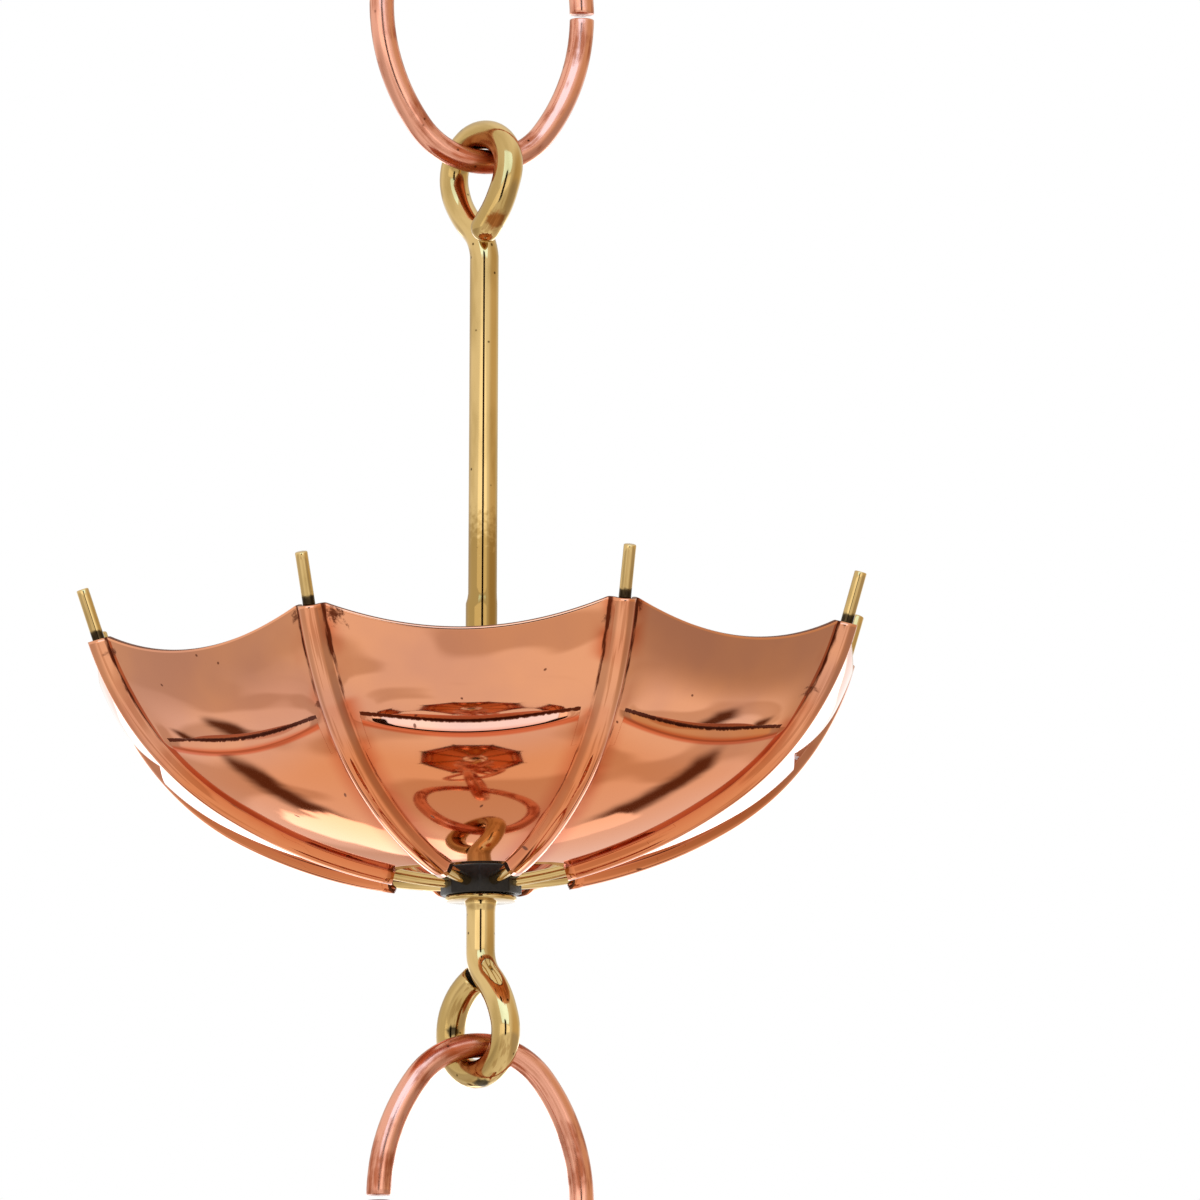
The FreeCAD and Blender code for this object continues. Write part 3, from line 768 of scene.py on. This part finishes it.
# Washers: stamped brass discs, slid on to the stem under the hub and held up by the stem's shoulder.
# Stamping leaves the rim slightly round.
washer_radius = 6.9 * mm
washer_edge = 0.25 * mm
washer_sides = 72
for number in (1, 2):
    body = "umbrella_%d" % number
    bm = bmesh.new()
    along_rod = bm.verts.layers.float_vector.new("along_rod")
    bmesh.ops.create_cone(bm, cap_ends=True, segments=washer_sides, radius1=washer_radius,
                          radius2=washer_radius, depth=washer_thickness,
                          matrix=Matrix.Translation((0, 0, -washer_thickness / 2)))
    rim_edges = [edge for edge in bm.edges if abs(edge.verts[0].co.z - edge.verts[1].co.z) < washer_edge]
    bmesh.ops.bevel(bm, geom=rim_edges, offset=washer_edge, segments=2, affect="EDGES", profile=0.5,
                    material=-1)
    for vert in bm.verts:
        vert[along_rod] = vert.co / mm
    place = on_axis(canopy_turn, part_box(body + "_washer")[1][2])
    place_piece(bm, body + "_washer_disc", place, [rib_brass], body, body + "_washer")


# Studio: a white floor under the hanging chain and an even white surround. A tent and cards that only the
# metal sees give the polished sheet a bright room with dim walls to reflect, and two dark bands low behind
# the chain.
scene = bpy.context.scene
scene.view_settings.view_transform = "Standard"
world = bpy.data.worlds.new("white surround")
scene.world = world
world.use_nodes = True
world.node_tree.nodes["Background"].inputs["Color"].default_value = (1, 1, 1, 1)
world.node_tree.nodes["Background"].inputs["Strength"].default_value = 1.0

floor_drop = 90.0 * mm
floor_size = 60.0
bm = bmesh.new()
bmesh.ops.create_grid(bm, x_segments=1, y_segments=1, size=floor_size / 2,
                      matrix=Matrix.Translation((0, 0, cad_box[0][2] - floor_drop)))
mesh = bpy.data.meshes.new("floor")
bm.to_mesh(mesh)
bm.free()
floor = bpy.data.objects.new("floor", mesh)
scene.collection.objects.link(floor)
floor_paint = bpy.data.materials.new("white floor paint")
floor_paint.use_nodes = True
tree = floor_paint.node_tree
shader = tree.nodes["Principled BSDF"]
shader.inputs["Base Color"].default_value = rgb("#F2F1EF")
shader.inputs["Roughness"].default_value = 0.9
shader.inputs["Specular IOR Level"].default_value = 0.0
seen_from_below = add_node(tree, "ShaderNodeMixShader", {}, {
    0: add_node(tree, "ShaderNodeNewGeometry").outputs["Backfacing"], 1: shader.outputs[0],
    2: add_node(tree, "ShaderNodeBsdfTransparent").outputs[0]})
tree.links.new(seen_from_below.outputs[0], tree.nodes["Material Output"].inputs["Surface"])
mesh.materials.append(floor_paint)
floor.visible_glossy = False

card_centre = Vector((0, 0, -180.0 * mm))


def facing(azimuth, elevation, distance):
    """The place of a card or lamp that faces the upper cup. Azimuth 0 is behind the chain, 90 to its right."""
    turn = math.radians(azimuth)
    lift = math.radians(elevation)
    way = Vector((math.sin(turn) * math.cos(lift), math.cos(turn) * math.cos(lift), math.sin(lift)))
    return Matrix.Translation(card_centre + way * distance) @ way.to_track_quat("Z", "Y").to_matrix().to_4x4()


def hang_reflected(bm, name, place, paint):
    """Hang a card that only reflections show."""
    mesh = bpy.data.meshes.new(name)
    bm.to_mesh(mesh)
    bm.free()
    mesh.materials.append(paint)
    card = bpy.data.objects.new(name, mesh)
    scene.collection.objects.link(card)
    card.matrix_world = place
    card.visible_camera = False
    card.visible_diffuse = False
    card.visible_shadow = False


tent_paint = bpy.data.materials.new("tent cloth")
tent_paint.use_nodes = True
tree = tent_paint.node_tree
tree.nodes.remove(tree.nodes["Principled BSDF"])
tent_place = add_node(tree, "ShaderNodeVectorMath", {"operation": "NORMALIZE"}, {
    0: add_node(tree, "ShaderNodeTexCoord").outputs["Object"]}).outputs[0]
tent_way = add_node(tree, "ShaderNodeSeparateXYZ", {}, {0: tent_place})
patch_size = 0.35
patches = add_node(tree, "ShaderNodeTexNoise", {}, {
    "Vector": tent_place, "Scale": 1 / patch_size, "Detail": 1.0}).outputs[0]
low_patches = add_node(tree, "ShaderNodeMath", {"operation": "MULTIPLY"}, {
    0: add_node(tree, "ShaderNodeMapRange", {"interpolation_type": "SMOOTHSTEP"}, {
        "Value": patches, "From Min": 0.50, "From Max": 0.60}).outputs[0],
    1: add_node(tree, "ShaderNodeMapRange", {"interpolation_type": "SMOOTHSTEP"}, {
        "Value": tent_way.outputs["Z"], "From Min": -0.35, "From Max": 0.05,
        "To Min": 1.0, "To Max": 0.0}).outputs[0]}).outputs[0]
below_level = add_node(tree, "ShaderNodeMapRange", {"interpolation_type": "SMOOTHSTEP"}, {
    "Value": tent_way.outputs["Z"], "From Min": -0.12, "From Max": 0.06,
    "To Min": 1.0, "To Max": 0.0}).outputs[0]
left_wall = add_node(tree, "ShaderNodeMath", {"operation": "MULTIPLY"}, {
    0: add_node(tree, "ShaderNodeMapRange", {"interpolation_type": "SMOOTHSTEP"}, {
        "Value": tent_way.outputs["X"], "From Min": -0.95, "From Max": -0.55,
        "To Min": 1.0, "To Max": 0.0}).outputs[0],
    1: below_level}).outputs[0]
right_side = add_node(tree, "ShaderNodeMapRange", {"interpolation_type": "SMOOTHSTEP"}, {
    "Value": tent_way.outputs["X"], "From Min": 0.55, "From Max": 0.95}).outputs[0]
right_wall = add_node(tree, "ShaderNodeMath", {"operation": "MULTIPLY"}, {
    0: right_side, 1: below_level}).outputs[0]
band_wave = 0.3
band_waves = add_node(tree, "ShaderNodeTexNoise", {}, {
    "Vector": tent_place, "Scale": 1 / band_wave, "Detail": 4.0, "Roughness": 0.6}).outputs[0]
band_wave_height = 0.08
band_height = add_node(tree, "ShaderNodeMath", {"operation": "MULTIPLY_ADD"}, {
    0: band_waves, 1: band_wave_height, 2: tent_way.outputs["Z"]}).outputs[0]
band_middle = -0.615
band_edge = add_node(tree, "ShaderNodeMath", {"operation": "ABSOLUTE"}, {
    0: add_node(tree, "ShaderNodeMath", {"operation": "SUBTRACT"}, {
        0: band_height, 1: band_middle}).outputs[0]}).outputs[0]
aside = add_node(tree, "ShaderNodeMath", {"operation": "ABSOLUTE"}, {0: tent_way.outputs["X"]}).outputs[0]
behind = add_node(tree, "ShaderNodeMapRange", {"interpolation_type": "SMOOTHSTEP"}, {
    "Value": tent_way.outputs["Y"], "From Min": 0.44, "From Max": 0.54}).outputs[0]
band_sides = add_node(tree, "ShaderNodeMath", {"operation": "MULTIPLY"}, {
    0: add_node(tree, "ShaderNodeMapRange", {"interpolation_type": "SMOOTHSTEP"}, {
        "Value": aside, "From Min": 0.16, "From Max": 0.26}).outputs[0],
    1: behind}).outputs[0]
dark_bands = add_node(tree, "ShaderNodeMath", {"operation": "MULTIPLY"}, {
    0: add_node(tree, "ShaderNodeMapRange", {"interpolation_type": "SMOOTHSTEP"}, {
        "Value": band_edge, "From Min": 0.014, "From Max": 0.056, "To Min": 1.0, "To Max": 0.0}).outputs[0],
    1: band_sides}).outputs[0]
back_wall = add_node(tree, "ShaderNodeMath", {"operation": "MULTIPLY"}, {
    0: add_node(tree, "ShaderNodeMapRange", {"interpolation_type": "SMOOTHSTEP"}, {
        "Value": tent_way.outputs["Y"], "From Min": 0.3, "From Max": 0.9}).outputs[0],
    1: add_node(tree, "ShaderNodeMapRange", {"interpolation_type": "SMOOTHSTEP"}, {
        "Value": tent_way.outputs["Z"], "From Min": 0.09, "From Max": 0.14}).outputs[0]}).outputs[0]
tent_tone = rgb("#FFFFFF")
for share, colour in ((low_patches, "#E2D9D0"), (right_side, "#DCC9A8"), (left_wall, "#D6D2CE"),
                      (right_wall, "#BEB4AA"), (back_wall, "#DAD3C4"), (dark_bands, "#64422F")):
    tent_tone = add_node(tree, "ShaderNodeMix", {"data_type": "RGBA"}, {
        0: share, 6: tent_tone, 7: rgb(colour)}).outputs[2]
tent_brightness = 1.18
tree.links.new(add_node(tree, "ShaderNodeEmission", {}, {
    "Color": tent_tone, "Strength": tent_brightness}).outputs[0], tree.nodes["Material Output"].inputs["Surface"])
tent_radius = 3.0
bm = bmesh.new()
bmesh.ops.create_icosphere(bm, subdivisions=5, radius=tent_radius)
hang_reflected(bm, "tent", Matrix.Translation(card_centre), tent_paint)

card_corner = 0.3
card_tears = 4.0
card_solid_to = 0.40
card_gone_at = 0.47


def place_card(name, azimuth, elevation, distance, width, height, colour, strength, ragged):
    """A flat card round the upper cup, with an edge that is ragged by a share of its size."""
    paint = bpy.data.materials.new(name)
    paint.use_nodes = True
    tree = paint.node_tree
    tree.nodes.remove(tree.nodes["Principled BSDF"])
    card_place = add_node(tree, "ShaderNodeTexCoord").outputs["Object"]
    across = add_node(tree, "ShaderNodeVectorMath", {"operation": "ABSOLUTE"}, {0: card_place}).outputs[0]
    sides = add_node(tree, "ShaderNodeSeparateXYZ", {}, {0: across})
    from_middle = add_node(tree, "ShaderNodeMath", {"operation": "SMOOTH_MAX"}, {
        0: sides.outputs["X"], 1: sides.outputs["Y"], 2: card_corner}).outputs[0]
    tears = add_node(tree, "ShaderNodeTexNoise", {}, {
        "Vector": card_place, "Scale": card_tears, "Detail": 2.0}).outputs[0]
    torn = add_node(tree, "ShaderNodeMath", {"operation": "MULTIPLY_ADD"}, {
        0: tears, 1: ragged, 2: from_middle}).outputs[0]
    solid = add_node(tree, "ShaderNodeMapRange", {"interpolation_type": "SMOOTHSTEP"}, {
        "Value": torn, "From Min": card_solid_to + ragged / 2, "From Max": card_gone_at + ragged / 2,
        "To Min": 1.0, "To Max": 0.0}).outputs[0]
    glow = add_node(tree, "ShaderNodeEmission", {}, {"Color": rgb(colour), "Strength": strength})
    mixed = add_node(tree, "ShaderNodeMixShader", {}, {
        0: solid, 1: add_node(tree, "ShaderNodeBsdfTransparent").outputs[0], 2: glow.outputs[0]})
    tree.links.new(mixed.outputs[0], tree.nodes["Material Output"].inputs["Surface"])
    bm = bmesh.new()
    bmesh.ops.create_grid(bm, x_segments=1, y_segments=1, size=0.5)
    place = facing(azimuth, elevation, distance) @ Matrix.Diagonal((width, height, 1, 1))
    hang_reflected(bm, name, place, paint)


# Each card's azimuth and elevation in degrees, distance, width and height in metres, colour, brightness and tear.
place_card("upper_soft_box", 180, 32, 2.6, 4.8, 1.9, "#B8D8FF", 3.4, 0.1)
place_card("front_soft_box", -173, 5, 2.3, 5.2, 0.66, "#FFFFFF", 1.75, 0.0)
place_card("camera_slit", 180, 7, 2.1, 0.60, 1.1, "#2A1608", 1.0, 0.0)
place_card("left_bright_card", -12, -38, 0.9, 0.34, 0.22, "#FFFFFF", 2.8, 0.3)
place_card("right_bright_card", 15, -40, 0.9, 0.2, 0.12, "#FFFFFF", 1.6, 0.2)
place_card("left_back_glow", -18, -10, 1.4, 0.7, 0.62, "#FFFFFF", 3.0, 0.2)
place_card("right_back_glow", 18, -10, 1.4, 0.7, 0.62, "#FFFFFF", 3.0, 0.2)


def place_soft_box(name, azimuth, elevation, distance, width, height, brightness):
    """A soft box that faces the upper cup, with its brightness as seen in a mirror."""
    light = bpy.data.lights.new(name, "AREA")
    light.shape = "RECTANGLE"
    light.size = width
    light.size_y = height
    light.energy = brightness * math.pi * width * height
    lamp = bpy.data.objects.new(name, light)
    lamp.matrix_world = facing(azimuth, elevation, distance)
    lamp.visible_glossy = False
    scene.collection.objects.link(lamp)


place_soft_box("left_soft_box", -140, 35, 1.6, 0.8, 1.0, 1.1)
place_soft_box("right_soft_box", 140, 35, 1.6, 0.8, 1.0, 1.1)

camera_data = bpy.data.cameras.new("camera")
camera = bpy.data.objects.new("camera", camera_data)
scene.collection.objects.link(camera)
scene.camera = camera
camera_distance = 2.2
camera_elevation = math.radians(-8.0)
frame_width = 232.5 * mm
frame_centre = Vector((23.0 * mm, 0, -143.8 * mm))
aim = Vector((0, math.cos(camera_elevation), -math.sin(camera_elevation)))
camera.location = frame_centre - aim * camera_distance
camera.rotation_euler = aim.to_track_quat("-Z", "Y").to_euler()
camera_data.sensor_width = 36.0
camera_data.lens = camera_data.sensor_width * camera_distance / frame_width
camera_data.clip_end = 100.0
